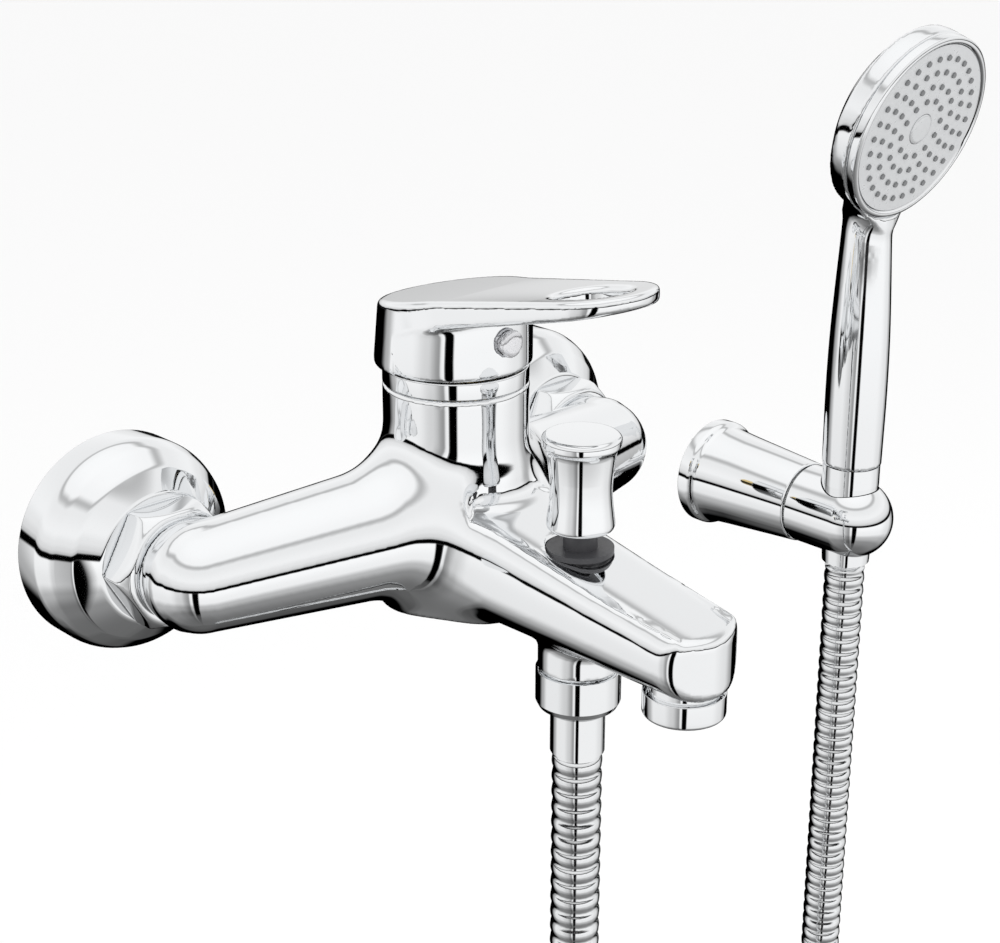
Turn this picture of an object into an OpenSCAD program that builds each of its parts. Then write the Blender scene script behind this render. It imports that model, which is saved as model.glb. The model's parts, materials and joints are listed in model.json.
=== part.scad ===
// Wall mounted bath faucet with a single lever, a pull-up diverter, a metal hose and a hand shower.
// X runs along the wall to the right, Y into the wall and Z up. The origin is on the wall face,
// midway between the two inlets. Millimetres.

/* [Supply] */
// Distance between the two inlets
inlet_pitch = 150; // [146:1:154]
// Radius of a wall rosette
rosette_r = 30; // [28:0.5:33]
// Depth of a wall rosette
rosette_depth = 23; // [21:0.5:24]
// Radius of the thread that enters the wall pipe
wall_thread_r = 10.48; // [10.3:0.01:10.6]
// Length of that thread behind the wall face
wall_thread_len = 16; // [12:1:20]
// Width of the union nut across its flats
nut_flats = 32; // [31:0.5:33]

/* [Body] */
// Distance from the wall to the axis of the column
column_out = 59; // [57:0.5:61]
// Radius of the column
column_r = 20.2; // [20:0.1:21]
// Height of the top of the column
column_top = 42.9; // [42:0.1:44]
// Distance from the wall to the axis of the elbows
elbow_out = 41.6; // [41:0.1:43]
// Radius of an elbow
elbow_r = 14.6; // [14:0.1:15.5]

/* [Spout] */
// Distance from the wall to the front of the spout
spout_reach = 157; // [155:0.5:160]
// Distance from the wall to the axis of the diverter and the hose outlet
diverter_out = 107.5; // [106:0.5:109]
// Distance from the wall to the axis of the aerator
aerator_out = 145.5; // [144:0.5:146]
// Radius of the aerator
aerator_r = 10.9; // [10.5:0.1:11.5]
// Travel of the diverter knob
pull_travel = 6; // [5:0.5:6.5]

/* [Lever] */
// Radius of the lever's cap
cap_r = 22.4; // [22:0.1:23]
// Distance from the wall to the tip of the lever
lever_reach = 127.5; // [125:0.5:132]
// Radius of the hole in the lever's loop
loop_r = 8.6; // [7:0.1:9]
// Greatest lift of the lever in degrees
lift_max = 18; // [10:1:18]

/* [Hand shower] */
// Distance of the bracket from the middle of the faucet
bracket_x = 178; // [170:1:200]
// Height of the bracket
bracket_z = -46; // [-50:1:-40]
// Distance from the wall to the axis of the handset
socket_out = 62; // [61:0.5:64]
// Radius of the spray head
head_r = 31; // [30:0.5:33]

/* [Hose] */
// Length of the hose between its ferrules
hose_len = 1500; // [1450:10:1600]
// Outer diameter of the hose
hose_d = 14; // [13:0.5:14.5]

/* [Hidden] */
$fn = 64;
e = 0.01;

column_y = -column_out;
elbow_y = -elbow_out;
rim_y = -33.3;
inlet_x = inlet_pitch / 2;
inlet_bore = 8;
union_r = 12;
tail_r = 9.6;
flange_y = -27.5;
nut_room_r = nut_flats / 2 / cos(30) + 0.7;

panel_slope = 0.185;
panel_z = 7.1;
spout_bottom = -19.5;

chamber_r = 17.55;
chamber_floor = 14;
port_x = 9;
port_r = 3.2;
outlet_port_y = -10;
nut_seat_z = 35;
neck_r = 13.6;
neck_top = 46;
rotor_r = 11;
rotor_z = 31.2;
rotor_top = 48;
pivot_z = 44;
disc_z = 20;
disc_t = 3;
disc_gap = 0.05;
carrier_z = disc_z + 2 * disc_t + disc_gap;
carrier_top = carrier_z + 4.5;
ball_z = 29;
ball_r = 2.8;
stem_square = 7;
disc_travel = (pivot_z - ball_z) * sin(lift_max);
slot_front = ball_r + disc_travel + 1;
slot_back = 6;
skirt_z = 48.1;
skirt_in_r = 20.6;
cap_top_z = 68;
blade_slope = 0.19;
button_z = 57.5;

diverter_y = -diverter_out;
knob_z = 13.4;
knob_top = 39.3;
stem_r = 2.5;
bonnet_bottom = -1;
bonnet_top = 12.6;
closed_spring = 4;
valve_top = bonnet_bottom - closed_spring - pull_travel;
plunger_spring_r = 4.6;
plunger_wire_r = 0.35;
seat_z = -15.2;

aerator_y = -aerator_out;
aerator_z = -26.5;
boss_r = 11;
boss_z = -27.2;
outlet_thread_r = 10.45;
outlet_z = -36;
hose_nut_r = 11.6;
hose_nut_z = -39.5;
ferrule_r = 7.5;
ferrule_z = -53;

socket_y = -socket_out;
barrel_r = 13.8;
swivel_y = -45;
flange_r = 19;
screw_pitch = 18;
screw_r = 2;
shank_r = 1.45;
screw_head_r = 3.8;
screw_in_wall = 10;
handle_z = bracket_z + 20;
cone_z = bracket_z - 16;
cone_top = handle_z - 0.3;
ball_end_r = 18;
head_y = -80;
head_z = 90.5;
head_tilt = 17;
face_r = head_r - 2.6;
ring_seat = -3.1;
ring_gap = 0.2;
nozzle_rings = [[9.6, 12], [14.4, 18], [19.2, 24], [24, 30]];

hose_r = hose_d / 2;
hose_start_z = ferrule_z;
hose_end_z = bracket_z - ball_end_r - 0.3;
turns = 1.5;
turn_step = hose_d + 1;
leg_span = [bracket_x, socket_y - diverter_y];
coil_shift = turns * turn_step;
coil_r = sqrt(pow(norm(leg_span), 2) - pow(coil_shift, 2)) / 2;
coil_turn = atan2(leg_span[1], leg_span[0]) - atan2(coil_shift, 2 * coil_r);
coil_u = [cos(coil_turn), sin(coil_turn)];
coil_n = [-sin(coil_turn), cos(coil_turn)];
coil_xy = [0, diverter_y] + coil_r * coil_u + coil_shift / 2 * coil_n;
turn_len = sqrt(pow(2 * PI * coil_r, 2) + pow(turn_step, 2));
coil_z = (turns * turn_len - hose_len + hose_start_z + hose_end_z) / 2;

chrome = [0.85, 0.86, 0.88];
brass = [0.80, 0.66, 0.32];
rubber = [0.12, 0.12, 0.13];
ceramic = [0.93, 0.91, 0.86];
plastic = [0.90, 0.90, 0.88];
grey = [0.62, 0.63, 0.65];

// ---- Helpers ----

// A cylinder from z0 to z1
module post(r, z0, z1, r2 = undef) {
    translate([0, 0, z0]) cylinder(r1 = r, r2 = is_undef(r2) ? r : r2, h = z1 - z0);
}

// A ring from z0 to z1
module ring(r_out, r_in, z0, z1) {
    difference() {
        post(r_out, z0, z1);
        post(r_in, z0 - 1, z1 + 1);
    }
}

// Turns a child's +Z into the outward direction -Y
module outward() {
    rotate([90, 0, 0]) children();
}

// Both sides of the faucet
module both_inlets() {
    for (side = [-1, 1]) translate([side * inlet_x, 0, 0]) children();
}

// A right-hand shape and its mirror image
module both_hands() {
    children();
    mirror([1, 0, 0]) children();
}

// A rod or a cone between two points
module rod(from, to, r1, r2 = undef) {
    span = to - from;
    flat = norm([span[0], span[1]]);
    translate(from) rotate([0, atan2(flat, span[2]), atan2(span[1], span[0])])
        cylinder(r1 = r1, r2 = is_undef(r2) ? r1 : r2, h = norm(span));
}

// A tube of radius r swept through points, with rings square to the path
function unit(v) = v / norm(v);
function heading(path, i) = unit(path[min(i + 1, len(path) - 1)] - path[max(i - 1, 0)]);
module tube(path, r, sides = 10) {
    guide = [0, 1, 0.013];
    rings = [for (i = [0:len(path) - 1])
        let (t = heading(path, i), a = unit(cross(guide, t)), b = cross(t, a))
        for (k = [0:sides - 1])
            path[i] + r * (cos(k * 360 / sides) * a + sin(k * 360 / sides) * b)];
    last = (len(path) - 1) * sides;
    walls = [for (i = [0:len(path) - 2], k = [0:sides - 1], half = [0, 1])
        let (j = (k + 1) % sides, low = i * sides, high = low + sides)
        half == 0 ? [low + k, high + k, high + j] : [low + k, high + j, low + j]];
    caps = [[for (k = [0:sides - 1]) k], [for (k = [sides - 1:-1:0]) last + k]];
    polyhedron(points = rings, faces = concat(walls, caps), convexity = 8);
}

// A helical spring round Z
module spring(r, wire_r, z0, z1, coils) {
    steps = 14;
    path = [for (i = [0:coils * steps])
        let (a = i * 360 / steps)
        [r * cos(a), r * sin(a), z0 + wire_r + (z1 - z0 - 2 * wire_r) * i / (coils * steps)]];
    tube(path, wire_r, 6);
}

// ---- Supply side ----

module supply_union() {
    difference() {
        union() {
            outward() post(union_r, 2, -flange_y - 2);
            outward() post(union_r + 1, 2, 9);
            outward() post(wall_thread_r, -wall_thread_len, 2 + e);
        }
        outward() post(inlet_bore, -wall_thread_len - 1, -flange_y);
    }
}
module left_union() { color(brass) translate([-inlet_x, 0, 0]) supply_union(); }
module right_union() { color(brass) translate([inlet_x, 0, 0]) supply_union(); }

// The bell-shaped cover against the wall
module rosette() {
    shoulder = 9.6;
    wall = 1.6;
    crease = [24.5, 18.5];
    mouth = union_r + 0.4;
    outward() rotate_extrude()
        polygon([[rosette_r - wall, 0], [rosette_r, 0], [rosette_r, shoulder],
            [rosette_r - 1.6, shoulder + 4.2], crease, [18.4, rosette_depth],
            [mouth, rosette_depth], [mouth, rosette_depth - wall],
            [17.6, rosette_depth - wall], [crease[0] - wall, crease[1] - wall],
            [rosette_r - wall, shoulder]]);
}
module left_rosette() { color(chrome) translate([-inlet_x, 0, 0]) rosette(); }
module right_rosette() { color(chrome) translate([inlet_x, 0, 0]) rosette(); }

// The loose nut that draws an elbow onto its union
module union_nut() {
    corner_r = nut_flats / 2 / cos(30);
    back = rosette_depth + 0.3;
    front = -rim_y - 0.2;
    outward() difference() {
        intersection() {
            translate([0, 0, back]) rotate(30) cylinder(r = corner_r, h = front - back, $fn = 6);
            post(corner_r + 2, back, front + 6.4, corner_r - 5.2);
            post(corner_r - 0.4, back, front);
        }
        post(union_r + 0.1, back - 1, front - 3.5);
        post(tail_r + 0.3, back, front + 1);
    }
}
module left_union_nut() { color(chrome) translate([-inlet_x, 0, 0]) union_nut(); }
module right_union_nut() { color(chrome) translate([inlet_x, 0, 0]) union_nut(); }

module inlet_washers() {
    color(rubber) both_inlets() outward() ring(11.4, inlet_bore, -flange_y - 2, -flange_y);
}

// Mesh cups that catch grit, held inside the washers
module inlet_strainers() {
    color([0.7, 0.7, 0.7]) both_inlets() outward() difference() {
        post(inlet_bore - 0.1, -flange_y - 9, -flange_y);
        post(inlet_bore - 0.9, -flange_y - 8.2, -flange_y + 1);
        for (a = [0:60:300]) rotate(a) translate([4.2, 0, 0]) post(1.3, -flange_y - 10, -flange_y - 8);
        post(1.6, -flange_y - 10, -flange_y - 8);
    }
}

// ---- Body ----

// Height of the spout's flat top at a distance from the wall
function panel_at(y) = panel_z + (y - diverter_y) * panel_slope;

// A cross-section of the spout: flat on top, bulging at the sides and round below
module spout_section(y, top_half, mid_half, top, bottom) {
    lean = acos(top_half / mid_half);
    middle = (top + bottom * sin(lean)) / (1 + sin(lean));
    arc = [for (i = [0:22]) let (a = lean - i * (180 + 2 * lean) / 22)
        [mid_half * cos(a), middle + (middle - bottom) * sin(a)]];
    translate([0, y, 0]) outward() linear_extrude(0.1) polygon(arc);
}

module spout_outer() {
    tip = -spout_reach;
    hull() {
        spout_section(column_y - 2, 14.8, 19, panel_at(column_y - 2), spout_bottom);
        spout_section(tip + 7, 12, 14.2, panel_at(tip + 7), spout_bottom);
        spout_section(tip + 0.1, 9.5, 10.6, panel_at(tip) - 1.2, spout_bottom + 1);
    }
}

// The right arm, from its elbow to the column
module arm_outer() {
    corner = [inlet_x, elbow_y, 0];
    root = [22, column_y + 4, 3];
    difference() {
        union() {
            translate(corner) sphere(r = elbow_r);
            translate([inlet_x, 0, 0]) outward() post(elbow_r - 0.8, -rim_y, elbow_out);
            rod(corner, root, elbow_r - 0.2, 18.6);
        }
        translate([inlet_x, 0, 0]) outward() post(nut_room_r, rosette_depth - 5, -rim_y);
    }
    translate([inlet_x, 0, 0]) outward() post(tail_r, -flange_y, -rim_y + 2);
    translate([inlet_x, 0, 0]) outward() post(tail_r + 2, -flange_y, -flange_y + 1.6);
}

// The water way through the right arm
module arm_bore() {
    corner = [inlet_x, elbow_y, 0];
    translate(corner) sphere(r = inlet_bore + 0.4);
    rod(corner, [10, column_y, 0], inlet_bore);
    translate([inlet_x, 0, 0]) outward() post(inlet_bore, -flange_y - 1, elbow_out);
}

module body_outer() {
    translate([0, column_y, 0]) post(column_r, spout_bottom + 3, column_top);
    translate([0, column_y, 0]) post(23, spout_bottom + 8, 18);
    translate([0, column_y, 0]) post(23, 18, 36, column_r);
    translate([0, column_y, 0]) post(19, spout_bottom, spout_bottom + 8 + e, 23);
    spout_outer();
    both_hands() arm_outer();
    translate([0, diverter_y, 0]) post(boss_r, boss_z, spout_bottom + 8);
    translate([0, diverter_y, 0]) post(outlet_thread_r, outlet_z, boss_z + e);
}

module body_bores() {
    translate([0, column_y, 0]) {
        post(chamber_r, chamber_floor, column_top + 1);
        post(chamber_r + 0.75, nut_seat_z, column_top + 1);
        for (side = [-1, 1]) translate([side * port_x, 0, 0]) post(port_r, 0, chamber_floor + 1);
        translate([0, outlet_port_y, 0]) post(port_r + 0.2, -6, chamber_floor + 1);
    }
    both_hands() arm_bore();
    translate([0, 0, -6]) outward() post(6.5, column_out + 9.5, diverter_out);
    translate([0, 0, -9.5]) outward() post(5, diverter_out, aerator_out);
    translate([0, diverter_y, 0]) {
        post(9, seat_z, 0);
        post(8, -e, panel_z + 8);
        post(6.5, outlet_z - 1, -22);
        post(5, -23, seat_z + e);
    }
    translate([0, aerator_y, 0]) post(9.6, -30, -14);
}

module faucet_body() {
    color(chrome) difference() {
        body_outer();
        body_bores();
        translate([0, diverter_y, 0]) post(9.2, 6.4, 20);
    }
}

// ---- Cartridge ----

module on_column() {
    translate([0, column_y, 0]) children();
}

module cartridge_seal() {
    color(rubber) on_column() difference() {
        post(15, chamber_floor, chamber_floor + 1);
        for (side = [-1, 1]) translate([side * port_x, 0, 0]) post(port_r, 0, 30);
        translate([0, outlet_port_y, 0]) post(port_r + 0.2, 0, 30);
    }
}

module cartridge_base() {
    color(plastic) on_column() difference() {
        post(17.3, chamber_floor + 1, disc_z);
        for (side = [-1, 1]) translate([side * port_x, 0, 0]) post(port_r - 0.2, 0, 30);
        translate([0, outlet_port_y, 0]) post(port_r, 0, 30);
    }
}

module fixed_ceramic_disc() {
    color(ceramic) on_column() difference() {
        post(13, disc_z, disc_z + disc_t);
        for (side = [-1, 1]) translate([side * 8, 0, 0]) post(2.4, 0, 30);
        translate([0, -8.4, 0]) post(2.8, 0, 30);
    }
}

module moving_ceramic_disc() {
    color(ceramic) on_column() difference() {
        post(8.6, disc_z + disc_t + disc_gap, carrier_z);
        translate([0, -1.5, 0]) post(3.6, disc_z, carrier_z - 1.2);
    }
}

module disc_carrier() {
    color([0.25, 0.35, 0.6]) on_column() difference() {
        post(8.6, carrier_z, carrier_top);
        post(ball_r + 0.35, carrier_z + 0.1, carrier_top + 1);
    }
}

module cartridge_housing() {
    color(plastic) on_column() difference() {
        union() {
            post(17.3, disc_z, nut_seat_z);
            post(neck_r, nut_seat_z - e, neck_top);
        }
        post(neck_r, disc_z - 1, rotor_z - 0.2);
        post(rotor_r + 0.05, disc_z, neck_top + 1);
    }
}

module cartridge_rotor() {
    color([0.3, 0.3, 0.32]) on_column() difference() {
        post(rotor_r, rotor_z, rotor_top);
        translate([-stem_square / 2 - 0.4, -slot_front, rotor_z - 1])
            cube([stem_square + 0.8, slot_front + slot_back, rotor_top]);
        translate([-12, 0, pivot_z]) rotate([0, 90, 0]) cylinder(r = 1.51, h = 24);
    }
}

module pivot_pin() {
    color("silver") on_column() translate([-9.6, 0, pivot_z]) rotate([0, 90, 0]) cylinder(r = 1.5, h = 19.2);
}

module cartridge_stem() {
    color(brass) on_column() difference() {
        union() {
            translate([0, 0, ball_z]) sphere(r = ball_r);
            post(2.4, ball_z, 38);
            post(3.5, 36, rotor_top + 1);
            translate([-stem_square / 2, -stem_square / 2, rotor_top + e])
                cube([stem_square, stem_square, 60.5 - rotor_top]);
        }
        translate([-12, 0, pivot_z]) rotate([0, 90, 0]) cylinder(r = 1.55, h = 24);
    }
}

module retaining_nut() {
    color(brass) on_column() difference() {
        union() {
            post(chamber_r + 0.65, nut_seat_z + 0.05, column_top + 0.1);
            translate([0, 0, column_top]) cylinder(r = 18.3, h = 5.4, $fn = 6);
        }
        post(neck_r + 0.3, nut_seat_z - 1, column_top + 8);
    }
}

module dress_ring() {
    color(chrome) on_column() ring(column_r, 18.5, column_top, 47.6);
}

// ---- Lever ----

// Outline of the cap and its loop seen from above
module lever_outline() {
    end_r = 16;
    end_y = -lever_reach + end_r;
    translate([0, column_y]) circle(r = cap_r);
    polygon([[-19.5, column_y - 11], [19.5, column_y - 11], [end_r, end_y], [-end_r, end_y]]);
    translate([0, end_y]) circle(r = end_r);
}

// Side view of the blade between its sloping top and its underside
module blade_profile() {
    back = column_y + 26;
    front = -lever_reach - 4;
    thin = 4;
    rear_under = cap_top_z - 9.5;
    front_top = cap_top_z - (front - column_y) * blade_slope;
    polygon([[back, cap_top_z - 26 * blade_slope], [front, front_top], [front, front_top - thin],
        [column_y - 8, rear_under + 3], [column_y, rear_under], [back, rear_under]]);
}

module finger_loop() {
    stretch = 3.4;
    front = -lever_reach + 7 + loop_r;
    translate([0, front, 0]) post(loop_r, 60, 100);
    translate([0, front + stretch, 0]) post(loop_r, 60, 100);
    translate([-loop_r, front, 60]) cube([2 * loop_r, stretch, 40]);
}

module lever_handle() {
    chamfer = 1.4;
    color(chrome) difference() {
        union() {
            intersection() {
                translate([0, 0, 40]) linear_extrude(60) lever_outline();
                translate([-30, 0, 0]) rotate([90, 0, 90]) linear_extrude(60) blade_profile();
            }
            on_column() post(cap_r, skirt_z + chamfer, 60);
            on_column() post(cap_r - chamfer, skirt_z, skirt_z + chamfer + e, cap_r);
        }
        on_column() difference() {
            union() {
                post(skirt_in_r, skirt_z - 1, 55);
                post(skirt_in_r, 55 - e, 61, 18);
            }
            post(6.4, 52, 62);
        }
        on_column() translate([-stem_square / 2 - 0.1, -stem_square / 2 - 0.1, 51])
            cube([stem_square + 0.2, stem_square + 0.2, 9.7]);
        finger_loop();
        translate([0, 0, button_z]) outward() post(2.1, column_out + 3, column_out + 8);
        translate([0, 0, button_z]) outward() post(3.3, column_out + 10, column_out + cap_r + 1);
    }
}

module lever_screw() {
    color([0.3, 0.3, 0.3]) translate([0, 0, button_z]) outward() difference() {
        post(2, column_out + 3.55, column_out + 8);
        translate([0, 0, column_out + 6]) cylinder(r = 1.15, h = 4, $fn = 6);
    }
}

module index_button() {
    color([0.8, 0.8, 0.82]) translate([0, 0, button_z]) outward() {
        post(3.2, column_out + 15.5, column_out + cap_r - 0.4);
        post(3.2, column_out + cap_r - 0.4 - e, column_out + cap_r + 0.4, 2.6);
    }
}

// ---- Diverter ----

module on_diverter() {
    translate([0, diverter_y, 0]) children();
}

module diverter_bonnet() {
    color([0.1, 0.1, 0.1]) on_diverter() difference() {
        union() {
            post(7.9, bonnet_bottom, 6.5);
            post(9, 6.5 - e, 8);
            post(4.6, 8 - e, bonnet_top);
        }
        post(stem_r + 0.05, bonnet_bottom - 1, bonnet_top + 1);
        ring(9, 6.6, 1, 3);
    }
}

module bonnet_o_ring() {
    color(rubber) on_diverter() ring(7.95, 6.65, 1.1, 2.9);
}

module diverter_knob() {
    color(chrome) on_diverter() rotate_extrude()
        polygon(concat(
            [[stem_r + 0.02, knob_z + 0.6], [stem_r + 0.02, 33], [0, 33], [0, knob_top],
                [9.4, knob_top], [10.6, knob_top - 1], [10.6, 33.4], [10.1, 32.4]],
            [for (i = [0:10]) let (t = i / 10) [8 + 1.7 * pow(2 * t - 1, 2), 31.6 - 15.8 * t]],
            [[9.3, 15], [9.3, knob_z + 0.6], [8.6, knob_z], [stem_r + 0.6, knob_z]]));
}

module diverter_stem() {
    color("silver") on_diverter() post(stem_r, valve_top - 3.6, 32.9);
}

module diverter_disc() {
    color(brass) on_diverter() ring(7.4, stem_r + 0.02, valve_top - 2.5, valve_top);
}

module diverter_seal() {
    color(rubber) on_diverter() ring(7.2, stem_r + 0.1, seat_z + 0.1, valve_top - 2.5);
}

module diverter_spring() {
    color("silver") on_diverter()
        spring(plunger_spring_r, plunger_wire_r, valve_top + 0.1, bonnet_bottom - 0.1, 3);
}

// ---- Aerator ----

module on_aerator() {
    translate([0, aerator_y, 0]) children();
}

module aerator_housing() {
    color(chrome) on_aerator() difference() {
        union() {
            post(aerator_r - 0.5, aerator_z, aerator_z + 0.5 + e, aerator_r);
            post(aerator_r, aerator_z + 0.5, -19.8);
            post(9.5, -19.9, -15.2);
        }
        post(7.8, aerator_z - 1, -10);
    }
}

module aerator_insert() {
    color(plastic) on_aerator() difference() {
        post(7.7, aerator_z + 1.2, -15.2);
        for (r = [2.4, 5.2], a = [0:45:315]) rotate(a + r * 4) translate([r, 0, 0]) post(0.6, -40, 0);
        post(0.6, -40, 0);
    }
}

module aerator_washer() {
    color(rubber) on_aerator() ring(9.4, 7, -15.2, -14.05);
}

// ---- Hose outlet ----

module check_valve_seat() {
    color(plastic) on_diverter() difference() {
        post(6.4, outlet_z, -23.2);
        post(3.2, outlet_z - 1, -20);
        post(5, outlet_z - 1, -26.4);
        post(5.6, outlet_z + 3, -26.4);
    }
}

module check_valve_poppet() {
    color([0.2, 0.5, 0.8]) on_diverter() {
        post(4.6, -28.4, -26.5);
        post(1.6, -31, -28.4 + e);
    }
}

module check_valve_spring() {
    color("silver") on_diverter() spring(3, 0.35, -35.5, -28.5, 4);
}

module outlet_washer() {
    color(rubber) on_diverter() ring(9.2, 5, outlet_z - 1.5, outlet_z);
}

module hose_nut() {
    color(chrome) on_diverter() difference() {
        union() {
            post(hose_nut_r - 3, hose_nut_z, hose_nut_z + 1.6 + e, hose_nut_r - 0.8);
            post(hose_nut_r - 0.8, hose_nut_z + 1.6, hose_nut_z + 3.2 + e, hose_nut_r);
            post(hose_nut_r, hose_nut_z + 3.2, boss_z);
        }
        post(outlet_thread_r + 0.1, outlet_z - 1.6, boss_z + 1);
        post(ferrule_r - 0.4, hose_nut_z - 1, boss_z);
    }
}

module outlet_ferrule() {
    color(chrome) on_diverter() difference() {
        union() {
            post(ferrule_r - 0.5, ferrule_z, outlet_z - 1.5);
            post(ferrule_r, ferrule_z + 1, hose_nut_z - 0.1);
        }
        post(4.5, ferrule_z + 4, outlet_z);
    }
}

// ---- Hose ----

// A leg hangs straight down and runs on into the first or last turn of the coil
function leg(top, xy) = [for (i = [0:12]) [xy[0], xy[1], top + (coil_z - top) * i / 12]];

module hose_outlet_leg() {
    color(chrome) tube(leg(hose_start_z, [0, diverter_y]), hose_r);
}

module hose_handset_leg() {
    color(chrome) tube(leg(hose_end_z, [bracket_x, socket_y]), hose_r);
}

module on_coil() {
    translate([coil_xy[0], coil_xy[1], coil_z]) rotate(coil_turn) rotate([90, 0, 0]) children();
}

module hose_coil() {
    half = coil_shift / 2 + hose_r;
    color(chrome) on_coil() ring(coil_r + hose_r, coil_r - hose_r, -half, half);
}

module hose_tie() {
    half = coil_shift / 2 + hose_r;
    color(rubber) on_coil() translate([0, -coil_r, 0]) difference() {
        cube([10, 2 * hose_r + 4, 2 * half + 4], center = true);
        cube([12, 2 * hose_r + 0.4, 2 * half + 0.4], center = true);
    }
}

// ---- Bracket ----

module on_bracket() {
    translate([bracket_x, 0, bracket_z]) children();
}

module wall_plate() {
    color("silver") on_bracket() difference() {
        outward() post(15.4, 0, 3);
        for (side = [-1, 1]) translate([0, 0, side * screw_pitch / 2]) outward() post(2.2, -1, 4);
    }
}

module plate_screws() {
    color("silver") on_bracket() for (side = [-1, 1])
        translate([0, 0, side * screw_pitch / 2]) outward() difference() {
            union() {
                post(0.6, -screw_in_wall, 3 - screw_in_wall, screw_r);
                post(screw_r, 3 - screw_in_wall - e, 0);
                post(shank_r, -e, 3 + e);
                post(screw_head_r, 3, 4.4);
                post(screw_head_r, 4.4 - e, 5.4, screw_head_r - 1.2);
            }
            for (turn = [0, 90]) rotate(turn) translate([-1.9, -0.4, 4]) cube([3.8, 0.8, 2]);
        }
}

module bracket_body() {
    color(chrome) on_bracket() difference() {
        outward() {
            post(flange_r, 0, 4.5);
            post(flange_r, 4.5 - e, 6, flange_r - 1.5);
            post(flange_r - 1.5, 6 - e, 44, 14.2);
        }
        outward() post(15.6, -1, 6.5);
        outward() post(9.5, 6, 39.5);
        outward() post(3.05, 39, 45);
        translate([0, -4, -20]) post(1.6, 0, 6);
    }
}

module bracket_grub_screw() {
    color([0.3, 0.3, 0.3]) on_bracket() translate([0, -4, 0]) difference() {
        post(1.55, -18.6, -15.45);
        translate([0, 0, -20]) cylinder(r = 0.9, h = 3, $fn = 6);
    }
}

module swivel_bolt() {
    color("silver") on_bracket() outward() {
        translate([0, 0, 36]) cylinder(r = 6, h = 3.4, $fn = 6);
        post(3, 39, 50.5);
    }
}

module swivel_washer() {
    color(plastic) on_bracket() outward() ring(11, 3.1, 44, -swivel_y - 0.05);
}

module socket_cone(gap = 0) {
    translate([0, socket_y, 0]) post(8.1 + gap, -barrel_r - 2.2, barrel_r - 0.8, 9.75 + gap);
    translate([0, socket_y, 0]) post(9.75 + gap, barrel_r - 0.8 - e, barrel_r + 6);
}

module swivel_holder() {
    end_out = socket_out + 2;
    color(chrome) on_bracket() difference() {
        union() {
            outward() post(barrel_r, -swivel_y, end_out);
            translate([0, -end_out, 0]) sphere(r = barrel_r);
        }
        outward() post(3.05, 44, 51.5);
        socket_cone(0.3);
        translate([0, socket_y, 0]) post(8.4, -barrel_r - 4, 0);
    }
}

// ---- Hand shower ----

module on_handset() {
    translate([bracket_x, socket_y, 0]) children();
}

module cone_nut() {
    color(chrome) difference() {
        on_bracket() socket_cone();
        on_handset() post(12, cone_top, handle_z + 10);
        on_handset() post(8.3, cone_top - 14, cone_top + 2);
        on_handset() post(7.2, cone_z - 1, cone_top);
    }
}

module handset_ferrule() {
    color(chrome) difference() {
        intersection() {
            on_handset() post(7.1, bracket_z - ball_end_r, cone_top - 16.2);
            translate([bracket_x, socket_y, bracket_z]) sphere(r = ball_end_r);
        }
        on_handset() post(4.5, cone_z + 2, cone_top);
    }
}

module handset_washer() {
    color(rubber) on_handset() ring(7.9, 4.6, cone_top - 14, cone_top - 12.6);
}

module handset_nipple() {
    color(brass) on_handset() ring(8.2, 5, cone_top - 12.6, handle_z + 4);
}

// Turns a child's +Z into the direction that the spray face looks
module on_face() {
    translate([bracket_x, head_y, head_z]) rotate([90 + head_tilt, 0, 0]) children();
}

module handle_solid(inset = 0) {
    profile = [[9.9, handle_z], [10.2, handle_z + 2], [10.8, handle_z + 46], [9.9, handle_z + 62],
        [7.6, handle_z + 84], [7.8, handle_z + 100], [7, handle_z + 112]];
    on_handset() rotate_extrude()
        polygon(concat([[0, handle_z]], [for (p = profile) [p[0] - inset, p[1]]], [[0, handle_z + 112]]));
}

// A head that widens from back_r at its back to r, then runs straight to its front
module head_solid(back_r, back, r, front) {
    rotate_extrude() polygon([[0, back], [back_r, back], [r, -9], [r, front], [0, front]]);
}

module handset_shell() {
    color(chrome) difference() {
        union() {
            handle_solid();
            on_face() head_solid(15, -20, head_r - 0.6, ring_seat);
        }
        on_face() head_solid(13, -17, head_r - 3, 0);
        on_handset() post(5.5, handle_z - 1, handle_z + 108);
        on_handset() post(8.3, handle_z - 1, handle_z + 4.2);
        on_face() post(head_r + ring_gap, ring_seat, 12);
    }
}

// Positions of the nozzles on the spray face
module each_nozzle() {
    for (row = nozzle_rings, i = [0:row[1] - 1])
        rotate(i * 360 / row[1] + row[0]) translate([row[0], 0, 0]) children();
}

module nozzle_mat() {
    color(rubber) on_face() {
        post(face_r - 0.6, -4.4, -2.6);
        each_nozzle() post(0.9, -2.7, 0.5);
    }
}

module spray_plate() {
    color(grey) on_face() difference() {
        post(face_r, -2.5, 0);
        each_nozzle() post(1, -4, 1);
        post(5.2, -1.2, 1);
    }
}

module spray_ring() {
    color(chrome) on_face() ring(head_r, face_r + 0.1, ring_seat + ring_gap, 0.6);
}

module spray_cap() {
    color(grey) on_face() {
        post(5, -1.2, 0.2);
        post(5, 0.2 - e, 0.6, 4.2);
    }
}

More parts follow.
